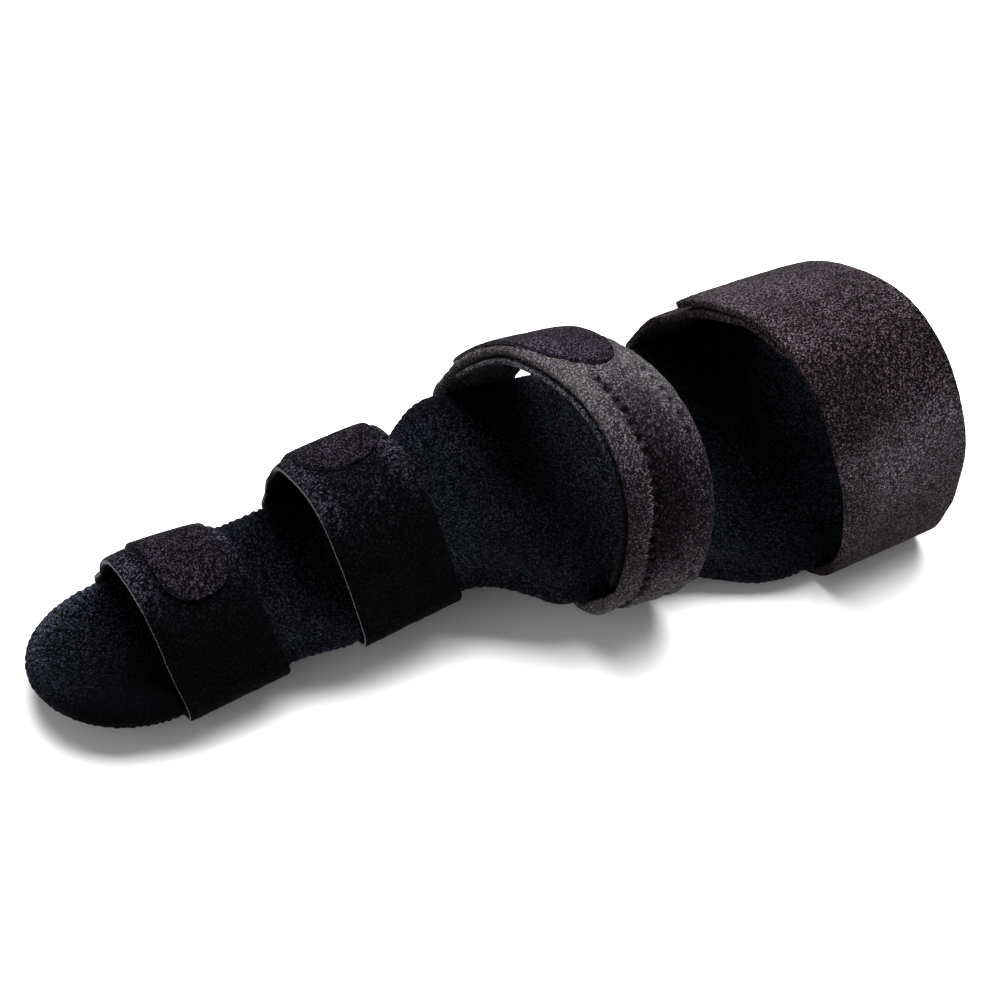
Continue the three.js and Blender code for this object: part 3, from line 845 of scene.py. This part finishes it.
# Distance along the strap from the crown and the lightness, the nap's own with painted light and shade laid
# on it, on the ridge beside the furrow, beyond the furrow and on the elbow's edge, in painted shade most
# between about
# 16 and 33 mm; places across from the furrow where one goes over into the next
HAND_NAP_AND_LIGHT_TABLE = np.array(
    [
        (-26.0, 0.9, 0.95, 1.0),
        (-17.0, 0.98, 1.05, 1.15),
        (-10.0, 1.16, 0.98, 1.3),
        (-4.0, 1.1, 0.8, 1.24),
        (3.0, 0.91, 0.57, 1.03),
        (9.0, 0.66, 0.37, 0.68),
        (16.0, 0.49, 0.16, 0.39),
        (25.0, 0.52, 0.14, 0.44),
        (33.0, 0.6, 0.2, 0.46),
        (42.0, 0.85, 0.8, 0.85),
        (52.0, 0.96, 0.96, 1.0),
    ]
)
RIDGE_ENDS = (-0.5, 1.5)
ELBOW_EDGE = (5.0, 12.0)
# Shade in the furrow and in the dots of the seam on the elbow's side: strength, width, and the marks along
# the strap between which both show; the dots' shift along it and the part of a pit's depth that they show
FURROW_SHADE = 0.87
FURROW_SHADE_WIDTH = 1.05
DOT_SHADE = 0.6
DOT_WIDTH = 0.8
SHADE_MARKS = (-10.0, -5.0, 60.0, 75.0)
DOT_SHIFT = 40.0
DOT_DEPTHS = (0.6, 0.95)


def furrow_at(at):
    """Place across of the furrow: straight from one row of its table to the next, with a slight wander."""
    wander = FURROW_WANDER[0] * uneven(at, 0.0, FURROW_WANDER[1], seed=64)
    return np.interp(at, FURROW[:, 0], FURROW[:, 1]) + wander


def pits_at(at):
    """How deep the furrow's thread pulls the pile down: a cosine along it, once for each stitch."""
    wander = PIT_WANDER[0] * uneven(at, 0.0, PIT_WANDER[1], seed=65)
    return PIT_MEAN + PIT_CHANGE * np.cos(2 * np.pi * at / PIT_PITCH + wander)


def hand_pile(at, x):
    """Relief of the hand strap's pile: coarse tufts, a furrow as a narrow valley with a pit at each stitch
    that fades in past the tab's end, and a shallow trough under each seam."""
    along = window(at, FURROW_MARKS)
    aside = x - furrow_at(at)
    furrow = FURROW_DEPTH * along * pits_at(at) * np.exp(-((aside / FURROW_WIDTH) ** 2))
    troughs = sum(np.exp(-(((aside - place) / TROUGH_WIDTH) ** 2)) for place, _ in SEAMS.values())
    return layered(HAND_TUFTS, at, x) - furrow - TROUGH_DEPTH * along * troughs


def hand_nap_and_painted_light(at, x):
    """The nap's lightness on the hand strap, with painted light and shade laid on it: from its table on
    either side of the furrow and on the elbow's edge, with painted shade in the furrow's pits and in the
    dots of the other seam."""
    aside = x - furrow_at(at)
    ridge, laid, fuzzy = [np.interp(at, HAND_NAP_AND_LIGHT_TABLE[:, 0], HAND_NAP_AND_LIGHT_TABLE[:, part]) for part in (1, 2, 3)]
    laid = laid + (fuzzy - laid) * eased(aside, *ELBOW_EDGE)
    light = ridge + (laid - ridge) * eased(aside, *RIDGE_ENDS)
    shown = window(at, SHADE_MARKS)
    furrow = shown * pits_at(at) * np.exp(-((aside / FURROW_SHADE_WIDTH) ** 4))
    dots_aside = aside - SEAMS["elbow_side_seam"][0]
    dots = shown * eased(pits_at(at + DOT_SHIFT), *DOT_DEPTHS) * np.exp(-((dots_aside / DOT_WIDTH) ** 2))
    return light * (1.0 - FURROW_SHADE * furrow) * (1.0 - DOT_SHADE * dots)


hand_cloth = pile_cloth(
    "hand_loop_pile",
    deep=(0.0008, 0.0006, 0.0009),
    tip=(0.1265, 0.1235, 0.1265),
    fibre=(0.24, 0.32),
    power=3.5,
    haze=0.11,
    dusk=(1.01, 0.73, 0.945),
)
hand_band, flat_size = cloth_band(
    "hand_strap_band", HAND, HAND_COURSE, 0.0, HAND[1], HAND_CLOTH, hand_pile,
    edge=2.2, wall=0.85, square=2.0, painted_light_and_nap=hand_nap_and_painted_light, seed=300,
)
hand_band.data.materials.append(hand_cloth)
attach(hand_band, "root")
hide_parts("hand_strap")

# The lining: a thin grey layer of foam and cloth, bonded to the hand strap's inner face over the back of
# the hand. It reaches out a little on the fingers' side, so its grey edge shows there.
LINING_COURSE = [(-52, 0, 0), (42, 0, 0)]
LINING_CLOTH = 1.0
LINING_SHIFT = -0.45
LINING_GAP = 0.12
LINING_GRAIN = [(0.03, 0.7, 71)]
LINING_SHADE = 0.88
LINING_DARKENS = (-6.0, 16.0)


def lining_face(at, x):
    """Relief of the lining: a faint cloth grain."""
    return layered(LINING_GRAIN, at, x)


def lining_tone(at, x):
    """The lining shows grey over the back of the hand and darkens towards the thumb's side."""
    return (1.0 - LINING_SHADE * eased(at, *LINING_DARKENS)) * even_tone(at, x)


lining_cloth = pile_cloth(
    "grey_lining",
    deep=(0.003, 0.003, 0.0032),
    tip=(0.138, 0.144, 0.162),
    fibre=(0.26, 0.34),
    power=2.5,
)
lining, flat_size = cloth_band(
    "hand_lining_band", HAND, LINING_COURSE, -LINING_CLOTH - LINING_GAP, HAND[1], LINING_CLOTH, lining_face,
    step=0.5, shift=LINING_SHIFT, painted_light_and_nap=lining_tone, seed=300,
)
lining.data.materials.append(lining_cloth)
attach(lining, "root")
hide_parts("hand_strap_lining")

# The seams: two rows of grey thread, sewn in a zigzag through the hand strap along its edges. They sink
# into its pile, and come up to its face only on the thumb's side.
SEAM_START = -4.0
SEAM_END = 112.0
SEAM_PITCH = 1.6
SEAM_WIDTH = 1.7
STITCH_POINTS = 6
SEAM_SHOWN = (4.0, 10.0, 34.0, 40.0)
SEAM_RISE = 0.42
SEAM_WANDER = (0.22, 3.0)
THREAD_RADIUS = 0.12
THREAD_SIDES = 5
THREAD_DARK = (0.010, 0.009, 0.010, 1.0)
THREAD_LIGHT = (0.068, 0.061, 0.066, 1.0)
THREAD_TWIST = 2500.0


def thread_tube(name, path, way_out, radius):
    """A thread: a profile with few sides carried along a path, between the way out of the cloth and the
    direction square to it and to the path, with one face over each end."""
    along = np.gradient(path, axis=0)
    along = along / np.linalg.norm(along, axis=1, keepdims=True)
    side = np.cross(along, way_out)
    side = side / np.linalg.norm(side, axis=1, keepdims=True)
    angle = np.linspace(0.0, 2 * np.pi, THREAD_SIDES, endpoint=False)
    ring = np.cos(angle)[None, :, None] * way_out[:, None] + np.sin(angle)[None, :, None] * side[:, None]
    points = path[:, None] + MM * radius * ring
    rows, columns = points.shape[:2]
    faces = tube_faces(rows, columns)[0]
    last = (rows - 1) * columns
    caps = [list(range(columns))[::-1], list(range(last, last + columns))]
    return new_mesh(name, points, faces.tolist() + caps)


def zigzag(at, middle, pitch, width):
    """A triangle wave across the strap: it goes from one side to the other and back in each pitch."""
    phase = np.mod(at / pitch, 1.0)
    return middle + width * (0.5 - np.abs(2.0 * phase - 1.0))


seam_thread, seam_tree, seam_out = empty_material("grey_seam_thread")
seam_place = shade(seam_tree, "ShaderNodeTexCoord", {}).outputs["Object"]
seam_twist = {"Vector": seam_place, "Scale": THREAD_TWIST, "Detail": 1.0}
seam_share = shade(seam_tree, "ShaderNodeTexNoise", seam_twist).outputs[0]
seam_look = {
    "Base Color": mixed(seam_tree, seam_share, THREAD_DARK, THREAD_LIGHT),
    "Roughness": 0.7,
    "Specular IOR Level": 0.3,
    "Sheen Weight": 0.2,
}
seam_shader = shade(seam_tree, "ShaderNodeBsdfPrincipled", seam_look)
seam_tree.links.new(seam_shader.outputs[0], seam_out.inputs["Surface"])

hand_belt = belt_of(HAND, 0.0)
for seam_name, (aside, depth) in SEAMS.items():
    seam_at = np.arange(SEAM_START, SEAM_END, SEAM_PITCH / STITCH_POINTS)
    seam_x = zigzag(seam_at, furrow_at(seam_at) + aside, SEAM_PITCH, SEAM_WIDTH)
    rise = SEAM_RISE * window(seam_at, SEAM_SHOWN)
    wander = SEAM_WANDER[0] * uneven(seam_at, aside, SEAM_WANDER[1], seed=81)
    sunk = HAND_CLOTH - depth + rise + wander
    seam_path = on_belt(HAND, hand_belt, seam_at, sunk, seam_x)
    seam_over = on_belt(HAND, hand_belt, seam_at, sunk + 1.0, seam_x)
    seam_way_out = (seam_over - seam_path) / MM
    seam = thread_tube(seam_name, seam_path, seam_way_out, THREAD_RADIUS)
    seam.data.materials.append(seam_thread)
    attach(seam, "root")

# The wrist strap: the widest band, of smooth brushed loop cloth without seams. It closes on itself, its
# first end lying over the second, and it is drawn in on the fingers' side where it turns under the tray.
WRIST_ROUNDS = [(-37.5, 9.0, 9.3), (-22.2, 29.0, 24.5), (-2.3, 22.5, 17.0)]
WRIST = (182.0, 34.0, -0.06, WRIST_ROUNDS, (1.3, 0.6, -0.055, 0.4))
PATCH_CLOTH = 0.35
PATCH_GAP = 0.12
WRIST_LAYER = WRIST_CLOTH + PATCH_GAP
PATCHED_LAYER = WRIST_LAYER + PATCH_CLOTH + PATCH_GAP
WRIST_COURSE = [
    (-42, 0, 0),
    (-68, 1, 0),
    (-44, 1, -PATCHED_LAYER),
    (-24, 1, -PATCHED_LAYER),
    (-16, 1, -WRIST_LAYER),
    (-1.5, 1, -WRIST_LAYER),
]
WAIST_DEPTH = 4.2
WAIST_MARKS = (20.0, 60.0, 64.0, 96.0)
# Tufts, and how far the nap is pressed flat between the marks where the splint rests
WRIST_TUFTS = [(0.06, 0.6, 91), (0.04, 1.3, 92), (0.06, 9.0, 93)]
REST_PRESS = 0.14
REST_MARKS = (52.0, 60.0, 126.0, 136.0)
# Distance along the strap from the crown and the painted light and shade there; the painted shade along the
# fingers' edge, its places across and its marks along the strap
WRIST_PAINTED_LIGHT = np.array(
    [(-30.0, 0.93), (-18.0, 0.84), (-6.0, 0.73), (0.0, 0.69), (5.5, 0.44), (11.5, 0.38), (16.5, 0.62)]
    + [(21.0, 0.97), (26.5, 1.82), (32.0, 1.6), (39.0, 1.32), (46.0, 0.96), (52.0, 0.71)]
)
WRIST_EDGE_SHADE = 0.45
WRIST_EDGE = (-16.0, -3.0)
WRIST_EDGE_MARKS = (12.0, 20.0, 36.0, 44.0)


def wrist_pile(at, x):
    """Relief of the wrist strap: short even tufts over a swell, pressed flat where the splint rests."""
    pressed = window(at, REST_MARKS)
    return layered(WRIST_TUFTS, at, x) * (1.0 - pressed) - REST_PRESS * pressed


def wrist_painted_shading(at, x):
    """Painted light and shade on the wrist strap: straight from one row of its table to the next, and
    painted shade along the fingers' edge on the thumb's side."""
    shade_share = (1.0 - eased(x, *WRIST_EDGE)) * window(at, WRIST_EDGE_MARKS)
    return np.interp(at, WRIST_PAINTED_LIGHT[:, 0], WRIST_PAINTED_LIGHT[:, 1]) * (1.0 - WRIST_EDGE_SHADE * shade_share)


def wrist_waist(at):
    """How far the fingers' edge is drawn in where the strap turns under the tray on the thumb's side."""
    return WAIST_DEPTH * window(at, WAIST_MARKS)


wrist_cloth = pile_cloth(
    "wrist_loop_cloth",
    deep=(0.0010, 0.0007, 0.0009),
    tip=(0.112, 0.098, 0.111),
    fibre=(0.22, 0.30),
    power=3.5,
    haze=0.03,
    dusk=(1.02, 0.79, 0.84),
)
wrist_band, flat_size = cloth_band(
    "wrist_strap_band", WRIST, WRIST_COURSE, 0.0, WRIST[1], WRIST_CLOTH, wrist_pile,
    step=0.48, waist=wrist_waist, wall=0.8, painted_light_and_nap=wrist_painted_shading, seed=400,
)
wrist_band.data.materials.append(wrist_cloth)
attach(wrist_band, "root")
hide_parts("wrist_strap")

# The wrist patch: a thin knitted patch of hooks that holds the wrist strap closed. It lies hidden between
# the strap's two ends, a little narrower than they are.
PATCH_COURSE = [(-40, 0, 0), (-26, 0, 0)]
PATCH_INSET = 5.0
patch_level = -PATCH_CLOTH - PATCH_GAP
patch_width = WRIST[1] - PATCH_INSET
patch, flat_size = cloth_band(
    "wrist_patch_knit", WRIST, PATCH_COURSE, patch_level, patch_width, PATCH_CLOTH, lining_face,
    step=0.5, seed=400,
)
patch.data.materials.append(knit_cloth)
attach(patch, "root")
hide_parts("wrist_hook_patch")
